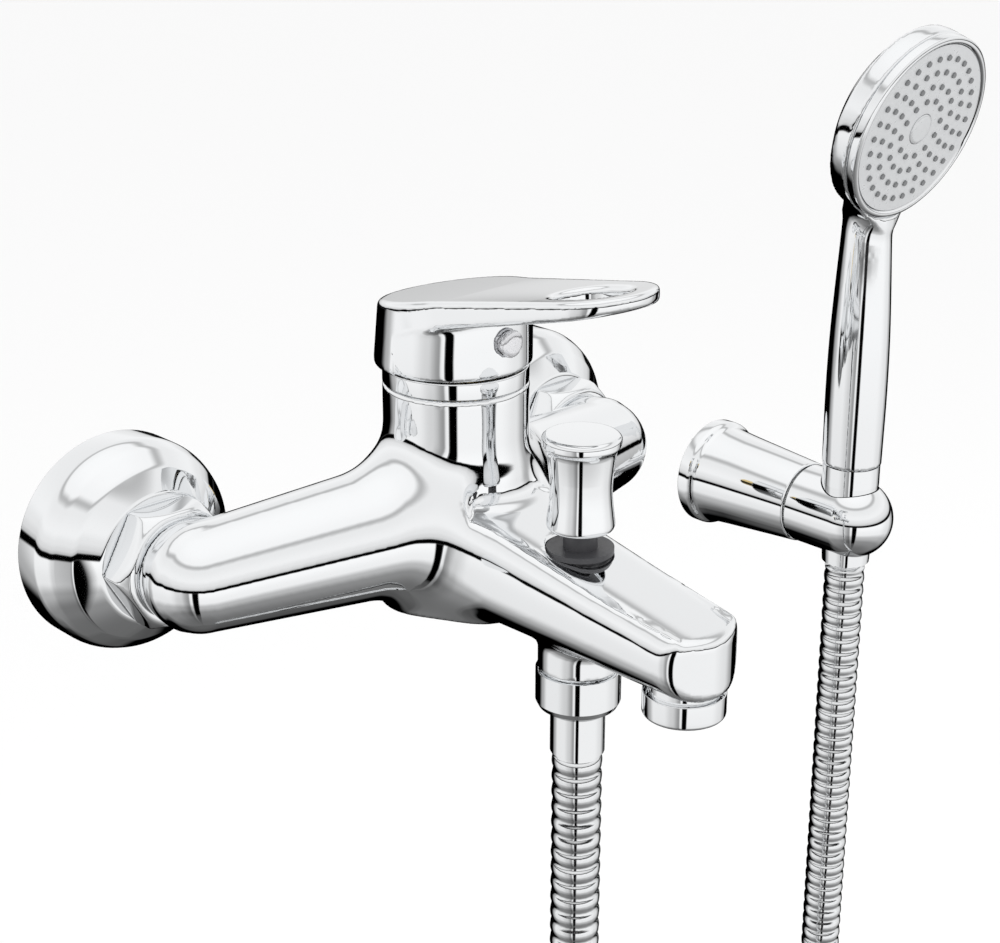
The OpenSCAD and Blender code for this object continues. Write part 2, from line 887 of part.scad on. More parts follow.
faucet_body();
left_union();
right_union();
left_rosette();
right_rosette();
left_union_nut();
right_union_nut();
inlet_washers();
inlet_strainers();
cartridge_seal();
cartridge_base();
fixed_ceramic_disc();
cartridge_housing();
retaining_nut();
dress_ring();
cartridge_rotor();
pivot_pin();
moving_ceramic_disc();
disc_carrier();
cartridge_stem();
lever_handle();
lever_screw();
index_button();
diverter_bonnet();
bonnet_o_ring();
diverter_knob();
diverter_stem();
diverter_disc();
diverter_seal();
diverter_spring();
aerator_housing();
aerator_insert();
aerator_washer();
check_valve_seat();
check_valve_poppet();
check_valve_spring();
outlet_washer();
hose_nut();
outlet_ferrule();
hose_outlet_leg();
hose_coil();
hose_handset_leg();
hose_tie();
wall_plate();
plate_screws();
bracket_body();
bracket_grub_screw();
swivel_bolt();
swivel_washer();
swivel_holder();
cone_nut();
handset_ferrule();
handset_washer();
handset_shell();
handset_nipple();
nozzle_mat();
spray_plate();
spray_ring();
spray_cap();
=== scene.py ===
"""Looks of a wall mounted bath faucet with a hose and a hand shower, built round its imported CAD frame."""

import json
import math
from functools import partial

import bmesh
import bpy
import numpy as np
from mathutils import Matrix, Vector


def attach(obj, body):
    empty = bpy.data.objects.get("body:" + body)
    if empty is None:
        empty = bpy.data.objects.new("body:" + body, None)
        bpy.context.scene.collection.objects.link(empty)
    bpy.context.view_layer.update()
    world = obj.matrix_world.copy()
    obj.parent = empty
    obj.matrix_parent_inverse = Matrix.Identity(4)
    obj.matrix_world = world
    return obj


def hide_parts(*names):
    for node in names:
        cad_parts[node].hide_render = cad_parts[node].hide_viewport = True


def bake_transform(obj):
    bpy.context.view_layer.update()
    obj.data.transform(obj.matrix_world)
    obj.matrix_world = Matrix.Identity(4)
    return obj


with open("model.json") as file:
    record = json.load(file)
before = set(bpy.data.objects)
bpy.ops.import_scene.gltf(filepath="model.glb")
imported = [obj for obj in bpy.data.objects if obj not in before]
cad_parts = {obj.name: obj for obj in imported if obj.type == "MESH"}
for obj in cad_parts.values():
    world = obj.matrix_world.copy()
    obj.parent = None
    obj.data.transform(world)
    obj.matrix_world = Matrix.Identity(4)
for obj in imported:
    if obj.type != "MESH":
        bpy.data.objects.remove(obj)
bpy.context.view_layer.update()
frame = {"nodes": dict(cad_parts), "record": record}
MM = 0.001

# Main places, in millimetres in the frame: X along the wall, Y into it, Z up. They repeat the CAD's.
INLET_X = 75.0
ELBOW_Y = -41.6  # where each arm turns towards the wall
RIM_Y = -33.3  # its end, at the union nut
COLUMN_Y = -59.0
COLUMN_R = 20.2
COLUMN_TOP = 42.9
DIVERTER_Y = -107.5
AERATOR_Y = -145.5
REACH = -157.0  # tip of the spout
BRACKET_X = 178.0
BRACKET_Z = -46.0
SOCKET_Y = -62.0
HEAD = (BRACKET_X, -80.0, 90.5)
HEAD_R = 31.0
HEAD_TILT = math.radians(17)
FACE_TURN = math.pi / 2 + HEAD_TILT  # round X, from straight up to the way the spray face looks


# ---- Camera ----

CAMERA_PLACE = (-0.34789, -0.44844, 0.21281)
CAMERA_BACK = (-0.639, -0.683, 0.3535)
CAMERA_RIGHT = (0.7302, -0.6833, 0)  # nearly: it is squared up to the back
CAMERA_LENS = 72.19
# Where it stands round the object, in degrees from straight in front; to the left is negative
CAMERA_AZIMUTH = -43.1


def make_camera():
    data = bpy.data.cameras.new("camera")
    data.lens = CAMERA_LENS
    data.sensor_width = 36
    data.clip_start = 0.01
    data.clip_end = 60
    camera = bpy.data.objects.new("camera", data)
    bpy.context.scene.collection.objects.link(camera)
    right = Vector(CAMERA_RIGHT).normalized()
    back = Vector(CAMERA_BACK).normalized()
    up = back.cross(right).normalized()
    right = up.cross(back)
    turn = Matrix((right, up, back)).transposed().to_4x4()
    camera.matrix_world = Matrix.Translation(Vector(CAMERA_PLACE)) @ turn
    bpy.context.scene.camera = camera


# ---- Light and stage ----

WHITE = (1, 1, 1, 1)
# Grey of the tent round the horizon: 0.5 is the side the camera stands on, and 0 and 1 are opposite it
TENT_AROUND = [
    (0.0, 0.0), (0.15, 0.0), (0.19, 0.45), (0.24, 0.92), (0.33, 0.92), (0.40, 0.7), (0.45, 0.33),
    (0.459, 0.9), (0.469, 1.0), (0.474, 0.0), (0.505, 0.0), (0.51, 1.0), (0.70, 1.0), (0.80, 0.85),
    (0.86, 0.42), (0.872, 0.0), (1.0, 0.0),
]
# Its grey by height, from straight down at 0 to straight up at 1
TENT_BY_HEIGHT = [
    (0.0, 0.14), (0.10, 0.26), (0.18, 0.5), (0.26, 0.9), (0.42, 1.0), (0.435, 0.0), (0.47, 0.0),
    (0.483, 0.55), (0.51, 0.72), (0.56, 0.82), (0.64, 0.92), (0.80, 0.86), (0.85, 0.5), (0.89, 0.95),
    (1.0, 1.0),
]
# How far the dark gaps round the horizon are closed, by height
TENT_CLOSING = [(0.0, 0.8), (0.05, 0.4), (0.09, 0.0), (0.42, 0.0), (0.475, 1.0), (1.0, 1.0)]
TENT_STRENGTH = 1.1
FLOOR_Z = -0.62
FLOOR_HALF = 20
LIGHTS_AIM = (0.03, -0.07, 0)
# Each light's name, place, size and power
LIGHTS = [("key", (-0.9, -1.1, 1.3), 0.9, 5), ("fill", (1.3, -0.7, 0.7), 0.8, 3)]


def ramp(tree, stops):
    """A colour ramp of grey stops, each (place, grey), eased between them."""
    node = tree.nodes.new("ShaderNodeValToRGB")
    node.color_ramp.interpolation = "EASE"
    elements = node.color_ramp.elements
    elements[0].position, elements[1].position = stops[0][0], stops[-1][0]
    for place, _ in stops[1:-1]:
        elements.new(place)
    for element, (_, grey) in zip(elements, stops):
        element.color = (grey, grey, grey, 1)
    return node


def make_tent():
    """The surroundings: plain white to the eye, and a white tent with dark gaps to reflections."""
    world = bpy.data.worlds.new("studio")
    bpy.context.scene.world = world
    world.use_nodes = True
    tree = world.node_tree
    add, link = tree.nodes.new, tree.links.new
    background = tree.nodes["Background"]
    place = add("ShaderNodeTexCoord")
    turn = add("ShaderNodeMapping")
    turn.inputs["Rotation"].default_value = (0, 0, math.radians(90 - CAMERA_AZIMUTH))
    radial = add("ShaderNodeTexGradient")
    radial.gradient_type = "RADIAL"
    link(place.outputs["Generated"], turn.inputs["Vector"])
    link(turn.outputs["Vector"], radial.inputs["Vector"])
    around = ramp(tree, TENT_AROUND)
    link(radial.outputs["Fac"], around.inputs["Fac"])
    split = add("ShaderNodeSeparateXYZ")
    link(place.outputs["Generated"], split.inputs["Vector"])
    height = add("ShaderNodeMapRange")
    height.inputs["From Min"].default_value = -1
    link(split.outputs["Z"], height.inputs["Value"])
    by_height = ramp(tree, TENT_BY_HEIGHT)
    link(height.outputs["Result"], by_height.inputs["Fac"])
    closing = ramp(tree, TENT_CLOSING)
    link(height.outputs["Result"], closing.inputs["Fac"])
    # Between the horizon's grey and white
    mix = add("ShaderNodeMix")
    mix.data_type = "RGBA"
    sockets = {(socket.name, socket.type): socket for socket in mix.inputs}
    link(around.outputs["Color"], sockets["A", "RGBA"])
    sockets["B", "RGBA"].default_value = WHITE
    link(closing.outputs["Color"], sockets["Factor", "VALUE"])
    mixed = next(socket for socket in mix.outputs if socket.type == "RGBA")
    product = add("ShaderNodeVectorMath")
    product.operation = "MULTIPLY"
    link(mixed, product.inputs[0])
    link(by_height.outputs["Color"], product.inputs[1])
    link(product.outputs[0], background.inputs["Color"])
    background.inputs["Strength"].default_value = TENT_STRENGTH
    plain = add("ShaderNodeBackground")
    plain.inputs["Color"].default_value = WHITE
    ray = add("ShaderNodeLightPath")
    choose = add("ShaderNodeMixShader")
    link(ray.outputs["Is Glossy Ray"], choose.inputs["Fac"])
    link(plain.outputs[0], choose.inputs[1])
    link(background.outputs[0], choose.inputs[2])
    link(choose.outputs[0], tree.nodes["World Output"].inputs["Surface"])


def make_floor():
    mesh = bpy.data.meshes.new("floor")
    corners = [(x * FLOOR_HALF, y * FLOOR_HALF, 0) for x, y in ((-1, -1), (1, -1), (1, 1), (-1, 1))]
    mesh.from_pydata(corners, [], [(0, 1, 2, 3)])
    floor = bpy.data.objects.new("floor", mesh)
    bpy.context.scene.collection.objects.link(floor)
    floor.location = (0, 0, FLOOR_Z)
    floor.visible_glossy = False
    material = bpy.data.materials.new("pale_floor")
    material.use_nodes = True
    shader = material.node_tree.nodes["Principled BSDF"]
    shader.inputs["Base Color"].default_value = (0.95, 0.95, 0.95, 1)
    shader.inputs["Roughness"].default_value = 0.9
    mesh.materials.append(material)


def make_lights():
    for name, place, size, power in LIGHTS:
        data = bpy.data.lights.new(name, "AREA")
        data.size = size
        data.energy = power
        light = bpy.data.objects.new(name, data)
        bpy.context.scene.collection.objects.link(light)
        light.location = place
        light.rotation_euler = (Vector(LIGHTS_AIM) - Vector(place)).to_track_quat("-Z", "Y").to_euler()
        light.visible_glossy = False


def make_stage():
    make_tent()
    bpy.context.scene.view_settings.view_transform = "Standard"
    make_floor()
    make_lights()


# ---- Materials ----

ROUGHNESS_SPREAD = 0.25  # as a share of the roughness, either way
RELIEF_DEPTH = 0.2  # as a share of the grain's size

# By material slot, with the grain's size in metres; spread is how far the colour varies, as a share
SURFACES = {
    "polished_chrome": dict(colour=(0.86, 0.87, 0.88), metallic=1, roughness=0.035, grain=0.03,
                            spread=0.012),
    "hose_steel": dict(colour=(0.80, 0.81, 0.82), metallic=1, roughness=0.10, grain=0.004,
                       spread=0.04),
    "chromed_plastic": dict(colour=(0.84, 0.85, 0.86), metallic=1, roughness=0.05, grain=0.03,
                            spread=0.015),
    "raw_brass": dict(colour=(0.80, 0.62, 0.30), metallic=1, roughness=0.24, grain=0.002,
                      spread=0.06, bump=0.15, stretch=(1, 1, 6)),
    "black_rubber": dict(colour=(0.03, 0.03, 0.03), metallic=0, roughness=0.6, grain=0.0008,
                         spread=0.2, bump=0.2),
    "nozzle_rubber": dict(colour=(0.20, 0.205, 0.21), metallic=0, roughness=0.5, grain=0.0008,
                          spread=0.12, bump=0.1),
    "ceramic": dict(colour=(0.90, 0.88, 0.83), metallic=0, roughness=0.15, grain=0.002, spread=0.02),
    "white_plastic": dict(colour=(0.85, 0.85, 0.83), metallic=0, roughness=0.4, grain=0.0015,
                          spread=0.03, bump=0.08),
    "blue_plastic": dict(colour=(0.10, 0.22, 0.50), metallic=0, roughness=0.4, grain=0.0015,
                         spread=0.05, bump=0.08),
    "dark_plastic": dict(colour=(0.06, 0.06, 0.065), metallic=0, roughness=0.4, grain=0.0015,
                         spread=0.1, bump=0.08),
    "stainless_steel": dict(colour=(0.60, 0.60, 0.60), metallic=1, roughness=0.2, grain=0.001,
                            spread=0.06, bump=0.08),
    "blackened_steel": dict(colour=(0.05, 0.05, 0.05), metallic=1, roughness=0.35, grain=0.001,
                            spread=0.1, bump=0.1),
    "index_plastic": dict(colour=(0.80, 0.80, 0.82), metallic=0.6, roughness=0.12, grain=0.002,
                          spread=0.03, coat=0.8),
    "satin_grey": dict(colour=(0.66, 0.67, 0.68), metallic=0.3, roughness=0.3, grain=0.0012,
                       spread=0.04, bump=0.06),
}


def procedural(name, colour, metallic, roughness, grain, spread, bump=0.0, stretch=(1, 1, 1), coat=0.0):
    """A surface whose colour and roughness vary a little over its grain."""
    material = bpy.data.materials.new(name)
    material.use_nodes = True
    tree = material.node_tree
    add, link = tree.nodes.new, tree.links.new
    shader = tree.nodes["Principled BSDF"]
    shader.inputs["Metallic"].default_value = metallic
    shader.inputs["Coat Weight"].default_value = coat
    place = add("ShaderNodeTexCoord")
    scale = add("ShaderNodeMapping")
    scale.inputs["Scale"].default_value = [s / grain for s in stretch]
    noise = add("ShaderNodeTexNoise")
    noise.inputs["Scale"].default_value = 1.0
    noise.inputs["Detail"].default_value = 3.0
    link(place.outputs["Object"], scale.inputs["Vector"])
    link(scale.outputs["Vector"], noise.inputs["Vector"])
    tint = add("ShaderNodeValToRGB")
    tint.color_ramp.elements[0].color = (*[max(0.0, c * (1 - spread)) for c in colour], 1)
    tint.color_ramp.elements[1].color = (*[min(1.0, c * (1 + spread)) for c in colour], 1)
    link(noise.outputs["Fac"], tint.inputs["Fac"])
    link(tint.outputs["Color"], shader.inputs["Base Color"])
    rough = add("ShaderNodeMapRange")
    rough.inputs["To Min"].default_value = roughness * (1 - ROUGHNESS_SPREAD)
    rough.inputs["To Max"].default_value = roughness * (1 + ROUGHNESS_SPREAD)
    link(noise.outputs["Fac"], rough.inputs["Value"])
    link(rough.outputs["Result"], shader.inputs["Roughness"])
    if bump:
        relief = add("ShaderNodeBump")
        relief.inputs["Strength"].default_value = bump
        relief.inputs["Distance"].default_value = grain * RELIEF_DEPTH
        link(noise.outputs["Fac"], relief.inputs["Height"])
        link(relief.outputs["Normal"], shader.inputs["Normal"])
    return material


MATERIALS = {name: procedural(name, **look) for name, look in SURFACES.items()}


def dress():
    """Gives every CAD node the material of its slot."""
    for part in frame["record"]["subparts"]:
        node = frame["nodes"][part["node"]]
        node.data.materials.clear()
        node.data.materials.append(MATERIALS[part["material_slot"]])


# ---- Mesh helpers ----

def piece(name, vertices, faces, body, slot, replaced):
    """A finished piece from points in millimetres. It rides on body, if one is given."""
    mesh = bpy.data.meshes.new(name)
    mesh.from_pydata((np.asarray(vertices, float) * MM).tolist(), [], [tuple(f) for f in faces])
    mesh.validate()
    mesh.update()
    work = bmesh.new()
    work.from_mesh(mesh)
    bmesh.ops.recalc_face_normals(work, faces=work.faces)
    work.to_mesh(mesh)
    work.free()
    mesh.polygons.foreach_set("use_smooth", [True] * len(mesh.polygons))
    mesh.materials.append(MATERIALS[slot])
    obj = bpy.data.objects.new(name, mesh)
    bpy.context.scene.collection.objects.link(obj)
    if body:
        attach(obj, body)
    if replaced:
        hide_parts(*replaced)
    return obj


ON_AXIS = 1e-6  # a radius under this is a point on the axis
SHARP = 1e-4  # a corner radius under this is a sharp corner
CORNER_SHARE = 0.49  # the most of its shorter side that a corner takes


def fillet(points, steps=5):
    """Rounds the corners of a closed outline. Each point is (radius, height, corner radius)."""
    out = []
    count = len(points)
    for i, (x, z, r) in enumerate(points):
        here = np.array((x, z), float)
        before = np.array(points[i - 1][:2], float) - here
        after = np.array(points[(i + 1) % count][:2], float) - here
        room = min(np.linalg.norm(before), np.linalg.norm(after)) * CORNER_SHARE
        cut = min(r, room)
        if cut < SHARP:
            out.append(here)
            continue
        start = here + before / np.linalg.norm(before) * cut
        end = here + after / np.linalg.norm(after) * cut
        for k in range(steps + 1):
            t = k / steps
            out.append((1 - t) ** 2 * start + 2 * t * (1 - t) * here + t * t * end)
    return np.array(out)


def lathe(outline, segments=112):
    """Turns a closed (radius, height) outline round Z. Points on the axis are welded."""
    count = len(outline)
    angles = np.arange(segments) * 2 * math.pi / segments
    vertices, index = [], np.zeros((count, segments), int)
    for i, (r, z) in enumerate(outline):
        if r < ON_AXIS:
            index[i, :] = len(vertices)
            vertices.append((0, 0, z))
        else:
            index[i, :] = len(vertices) + np.arange(segments)
            vertices.extend(zip(r * np.cos(angles), r * np.sin(angles), np.full(segments, z)))
    faces = []
    for i in range(count):
        j = (i + 1) % count
        if outline[i][0] < ON_AXIS and outline[j][0] < ON_AXIS:
            continue
        for k in range(segments):
            m = (k + 1) % segments
            face = [index[i, k], index[i, m], index[j, m], index[j, k]]
            faces.append([v for n, v in enumerate(face) if v != face[n - 1]])
    return np.array(vertices, float), faces


def upright(vertices):
    """Leaves +Z as it is."""
    return vertices


def outward(vertices):
    """Turns +Z into the direction out of the wall, -Y."""
    v = np.asarray(vertices)
    return np.stack([v[:, 0], -v[:, 2], v[:, 1]], 1)


def on_face(vertices):
    """Turns +Z into the direction that the spray face looks, at the head."""
    v = np.asarray(vertices)
    cos, sin = math.cos(FACE_TURN), math.sin(FACE_TURN)
    turned = np.stack([v[:, 0], v[:, 1] * cos - v[:, 2] * sin, v[:, 1] * sin + v[:, 2] * cos], 1)
    return turned + np.array(HEAD)


def from_face(p):
    """The other way: points in the frame as the spray face sees them."""
    q = p - np.array(HEAD)
    cos, sin = math.cos(FACE_TURN), math.sin(FACE_TURN)
    return np.stack([q[:, 0], q[:, 1] * cos + q[:, 2] * sin, -q[:, 1] * sin + q[:, 2] * cos], 1)


# ---- Solid shapes as distance fields, negative inside ----

def soft_min(a, b, k):
    """Both shapes, joined with a fillet about k wide."""
    h = np.maximum(k - np.abs(a - b), 0) / k
    return np.minimum(a, b) - h * h * k / 4


def soft_max(a, b, k):
    """What both shapes share, with its edges rounded about k wide. With -b, it is a without b."""
    return -soft_min(-a, -b, k)


def rod(p, a, b, r1, r2):
    """A round-ended rod or cone from a to b."""
    a, b = np.array(a, float), np.array(b, float)
    span = b - a
    t = np.clip(((p - a) @ span) / (span @ span), 0, 1)
    return np.linalg.norm(p - a - t[:, None] * span, axis=1) - (r1 + (r2 - r1) * t)


def post(p, centre, r, low, high, k, axis=2):
    """A cylinder along one axis, its rims rounded about k wide."""
    others = [i for i in range(3) if i != axis]
    round_part = np.hypot(p[:, others[0]] - centre[0], p[:, others[1]] - centre[1]) - r
    ends = np.maximum(low - p[:, axis], p[:, axis] - high)
    return soft_max(round_part, ends, k)


FIELD_PARTS = 24  # parts that a field's grid is worked out in, to save memory
NEWTON_ROUNDS = 5
SLOPE_STEP = 0.05  # half the distance over which a slope is measured
SLOPE_LEAST = 0.05  # of its square, so that no move is huge


def net_points(value, origin, step):
    """One point for each cell that a field's zero surface passes through, and the cells' numbers."""
    inside = value < 0
    cells = tuple(n - 1 for n in value.shape)
    total, hits = np.zeros(cells + (3,)), np.zeros(cells)
    for a in [np.array(c) for c in np.ndindex(2, 2, 2)]:
        for d in range(3):
            if a[d]:
                continue
            b = a.copy()
            b[d] = 1
            from_a = tuple(slice(a[i], a[i] + cells[i]) for i in range(3))
            from_b = tuple(slice(b[i], b[i] + cells[i]) for i in range(3))
            crossing = inside[from_a] != inside[from_b]
            t = np.where(crossing, value[from_a] / np.where(crossing, value[from_a] - value[from_b], 1), 0)
            for i in range(3):
                total[..., i] += crossing * (a[i] + (t if i == d else 0))
            hits += crossing
    active = hits > 0
    number = -np.ones(cells, int)
    number[active] = np.arange(active.sum())
    points = origin + step * (np.argwhere(active) + total[active] / hits[active][:, None])
    return points, number


def net_quads(inside, number):
    """A quad across each grid edge that the surface crosses, between the cells round that edge."""
    cells = number.shape
    quads = []
    for d in range(3):
        e, f = (d + 1) % 3, (d + 2) % 3
        here = [slice(None)] * 3
        there = [slice(None)] * 3
        here[d], there[d] = slice(0, -1), slice(1, None)
        first, second = inside[tuple(here)], inside[tuple(there)]
        step_e, step_f = np.zeros(3, int), np.zeros(3, int)
        step_e[e], step_f[f] = 1, 1
        for flip in (False, True):
            edges = np.argwhere((~first & second) if flip else (first & ~second))
            keep = (edges[:, e] > 0) & (edges[:, f] > 0) & (edges[:, e] < cells[e]) & (edges[:, f] < cells[f])
            edges = edges[keep]
            ring = [edges - step_e - step_f, edges - step_f, edges, edges - step_e]
            quad = np.stack([number[tuple(r.T)] for r in ring], 1)
            quads.append(quad[:, ::-1] if flip else quad)
    return np.concatenate(quads).tolist()


def settle(field, points, step):
    """Moves points onto a field's zero surface, by Newton steps of half a grid step at most."""
    for _ in range(NEWTON_ROUNDS):
        here = field(points)
        slope = np.stack([(field(points + SLOPE_STEP * axis) - field(points - SLOPE_STEP * axis))
                          / (2 * SLOPE_STEP) for axis in np.eye(3)], 1)
        move = -here[:, None] * slope / np.maximum((slope ** 2).sum(1), SLOPE_LEAST)[:, None]
        length = np.linalg.norm(move, axis=1)[:, None]
        points = points + move * np.minimum(1, 0.5 * step / np.maximum(length, 1e-9))
    return points


def surface(field, low, high, step):
    """Vertices and quads of the zero surface of a field, by surface nets."""
    axes = [np.arange(l - 2 * step, h + 3 * step, step) for l, h in zip(low, high)]
    grid = np.stack(np.meshgrid(*axes, indexing="ij"), -1).reshape(-1, 3)
    value = np.concatenate([field(part) for part in np.array_split(grid, FIELD_PARTS)])
    value = value.reshape([len(a) for a in axes])
    points, number = net_points(value, np.array([a[0] for a in axes]), step)
    return settle(field, points, step), net_quads(value < 0, number)


# ---- The body ----

# The panel sunk into the spout's top: its height at the diverter, its rise towards the wall and its depth
PANEL_Z, PANEL_SLOPE, PANEL_DEPTH = 7.1, 0.185, 2.6
# The centre of its round end at the column, its half width there, and how much narrower it is PANEL_RUN
# further out
PANEL_END_Y, PANEL_HALF, PANEL_NARROWING, PANEL_RUN = -84.0, 14.6, 5.4, 70
# The spout at the column, and how much it changes to its tip: half width, and height of its underside
SPOUT_HALF, SPOUT_NARROWING = 19.0, 5.2
SPOUT_BOTTOM, SPOUT_RISE = -19.5, 0.6
SPOUT_POWER = 2.7  # of the superellipse that is its section: 2 is an ellipse, and more is squarer
SPOUT_NOSE = 0.034  # how its front curves back, in each mm of X squared
COLUMN_FOOT_R = 20.4
ARM_ROOT = (22, -55, 3)
ARM_R, ARM_ROOT_R, ELBOW_END_R = 14.6, 18.4, 14.0
NUT_ROOM_R = 19.2
# Bores up and down: Y of the axis, radius, bottom, top and how soft the rims are
UPRIGHT_BORES = [
    (COLUMN_Y, 17.9, 14, 60, 0.4),  # the cartridge
    (DIVERTER_Y, 9.2, 6.4, 30, 0.6),  # the bonnet's seat
    (DIVERTER_Y, 9.0, -15.2, 0, 0.4),  # the diverter's chamber
    (DIVERTER_Y, 8.0, -1, 10, 0.4),  # the bonnet's thread
    (DIVERTER_Y, 6.5, -40, -22, 0.4),  # the hose outlet
    (AERATOR_Y, 9.6, -40, -14, 0.4),
]
INLET_BORE = (8.0, -41.6, -20, 0.4)  # radius, front, back and softness


def panel_height(y):
    return PANEL_Z + (y - DIVERTER_Y) * PANEL_SLOPE


def spout(p):
    """The tapering spout, before the panel is sunk into its top."""
    x, y, z = p.T
    along = np.clip((COLUMN_Y - y) / (COLUMN_Y - REACH), 0, 1)
    half = SPOUT_HALF - SPOUT_NARROWING * along
    top = panel_height(y) + PANEL_DEPTH
    bottom = SPOUT_BOTTOM + SPOUT_RISE * along
    middle, tall = (top + bottom) / 2, (top - bottom) / 2
    ring = (np.abs(x) / half) ** SPOUT_POWER + (np.abs(z - middle) / tall) ** SPOUT_POWER
    ring = ring ** (1 / SPOUT_POWER)
    side = (ring - 1) * np.minimum(half, tall)
    front = REACH - y + SPOUT_NOSE * x * x
    back = y - COLUMN_Y
    return np.maximum(soft_max(side, front, 2.2), back)


def panel(p):
    """What is cut away above the panel. It stops short of the column."""
    x, y, z = p.T
    half = PANEL_HALF - PANEL_NARROWING * np.clip((PANEL_END_Y - y) / PANEL_RUN, 0, 1)
    outline = np.where(y > PANEL_END_Y, np.hypot(x, y - PANEL_END_Y) - PANEL_HALF, np.abs(x) - half)
    cutter = np.maximum(outline, panel_height(y) - z)
    column_side = np.hypot(x, y - COLUMN_Y) - COLUMN_R
    return soft_max(cutter, 1.0 - column_side, 5)


def body_field(p):
    x, y, z = p.T
    mirrored = np.stack([np.abs(x), y, z], 1)
    column = post(p, (0, COLUMN_Y), COLUMN_R, -19.0, COLUMN_TOP, 1.2)
    foot = rod(p, (0, COLUMN_Y, -0.5), (0, COLUMN_Y, 12), COLUMN_FOOT_R, COLUMN_FOOT_R)
    arm = rod(mirrored, (INLET_X, ELBOW_Y, 0), ARM_ROOT, ARM_R, ARM_ROOT_R)
    elbow = post(mirrored, (INLET_X, 0), ELBOW_END_R, ELBOW_Y, RIM_Y, 1.4, axis=1)
    arm = soft_min(arm, elbow, 2.5)
    nut_room = np.maximum(np.hypot(mirrored[:, 0] - INLET_X, z) - NUT_ROOM_R, RIM_Y - y)
    arm = soft_max(arm, -nut_room, 1.2)
    solid = soft_min(column, foot, 6)
    solid = soft_min(solid, arm, 13)
    solid = soft_min(solid, spout(p), 11)
    solid = soft_max(solid, z - COLUMN_TOP, 0.6)
    solid = soft_max(solid, -panel(p), 2.2)
    outlet_boss = post(p, (0, DIVERTER_Y), 11.0, -27.2, -12, 0.8)
    solid = soft_min(solid, outlet_boss, 2.5)
    inlet_spigot = post(mirrored, (INLET_X, 0), 9.6, -36, -27.5, 0.5, axis=1)
    solid = soft_min(solid, inlet_spigot, 0.6)
    for axis_y, r, low, high, k in UPRIGHT_BORES:
        solid = soft_max(solid, -post(p, (0, axis_y), r, low, high, k), 0.5)
    return soft_max(solid, -post(mirrored, (INLET_X, 0), *INLET_BORE, axis=1), 0.5)


# ---- The lever ----

# Height of its top at the column's axis and its rise outwards, and the dish sunk into it
LEVER_TOP, LEVER_SLOPE, DISH_DEPTH = 68, 0.19, 0.3
# The blade's round end, and its half width there and at the column
BLADE_END_Y, BLADE_END_R, BLADE_ROOT_R = -111.5, 16.0, 19.5
# The cap over the column: its radius up to CAP_LOW, how much it narrows for each mm above, and its rim
CAP_R, CAP_NARROWING, CAP_LOW, CAP_RIM = 22.3, 0.085, 50, 48.1
RECESS_Y, RECESS_R = -57.6, 22.0  # the circle that its front is cut back to, under the blade
LOOP_Y, LOOP_R = (-111.9, -108.5), 8.6  # the finger hole: the ends of its middle line, and its radius
BUTTON_Z, BUTTON_HOLE_R = 57.5, 3.3
STEM_SQUARE = (3.6, 51, 60.7)  # half width, bottom and top
# The blade's underside: its height at the column's axis and at its bend, and its rise before and after
UNDER_BACK, UNDER_BEND, UNDER_BEND_Y, UNDER_RISES = 58.5, 61.5, -67, (0.375, 0.2527)
# Room inside the cap, each with a radius, a bottom and a top
HOLLOW, HOLLOW_BEHIND, HOLLOW_TOP = (19.4, 40, 55), (20.5, 40, 55), (18.5, 54, 59.5)
STEM_SOCKET = (6.2, 52, 70)


def lever_underside(y):
    """Height of the blade's underside: level behind the column's axis, and rising from there out."""
    before, after = UNDER_RISES
    near = UNDER_BACK + np.clip(COLUMN_Y - y, 0, COLUMN_Y - UNDER_BEND_Y) * before
    return np.where(y > UNDER_BEND_Y, near, UNDER_BEND + (UNDER_BEND_Y - y) * after)


def lever_hollow(p):
    """The room inside the cap, round the stem's socket."""
    column = (0, COLUMN_Y)
    inner = post(p, column, *HOLLOW, 0.6)
    # Wider behind, to pass the collar when the lever lifts
    inner = np.minimum(inner, soft_max(post(p, column, *HOLLOW_BEHIND, 0.6), -63 - p[:, 1], 0.6))
    upper = post(p, column, *HOLLOW_TOP, 0.6)
    socket = post(p, column, *STEM_SOCKET, 0.4)
    return soft_max(np.minimum(inner, upper), -socket, 0.5)


def lever_field(p):
    x, y, z = p.T
    cap_r = CAP_R - CAP_NARROWING * np.clip(z - CAP_LOW, 0, 30)
    cap = soft_max(np.hypot(x, y - COLUMN_Y) - cap_r, CAP_RIM - z, 1.0)
    span = COLUMN_Y - BLADE_END_Y
    along = np.clip((COLUMN_Y - y) / span, 0, 1)
    blade = np.hypot(x, y - COLUMN_Y + along * span) - (BLADE_ROOT_R + (BLADE_END_R - BLADE_ROOT_R) * along)
    under = lever_underside(y)
    blade = soft_max(blade, under - z, 1.6)
    # Under the blade, the cap's front stands back
    recess = np.maximum(RECESS_R - np.hypot(x, y - RECESS_Y), np.maximum(z - under, y - COLUMN_Y))
    solid = soft_min(soft_max(cap, -recess, 1.0), blade, 1.6)
    top = LEVER_TOP + (COLUMN_Y - y) * LEVER_SLOPE
    dish = DISH_DEPTH * np.clip(1 - (x / 15) ** 2, 0, 1) * np.clip((-72 - y) / 30, 0, 1)
    solid = soft_max(solid, z - top + dish, 1.7)
    loop = np.hypot(x, y - np.clip(y, *LOOP_Y)) - LOOP_R
    solid = soft_max(solid, -loop, 1.9)
    solid = soft_max(solid, -lever_hollow(p), 0.4)
    half, low, high = STEM_SQUARE
    square = np.maximum(np.maximum(np.abs(x), np.abs(y - COLUMN_Y)) - half, np.maximum(low - z, z - high))
    solid = np.maximum(solid, -square)
    button = np.hypot(x, z - BUTTON_Z) - BUTTON_HOLE_R
    pocket = np.maximum(button, np.maximum(y - (COLUMN_Y - 10), -110 - y))
    return soft_max(solid, -pocket, 0.4)


# ---- The handset ----

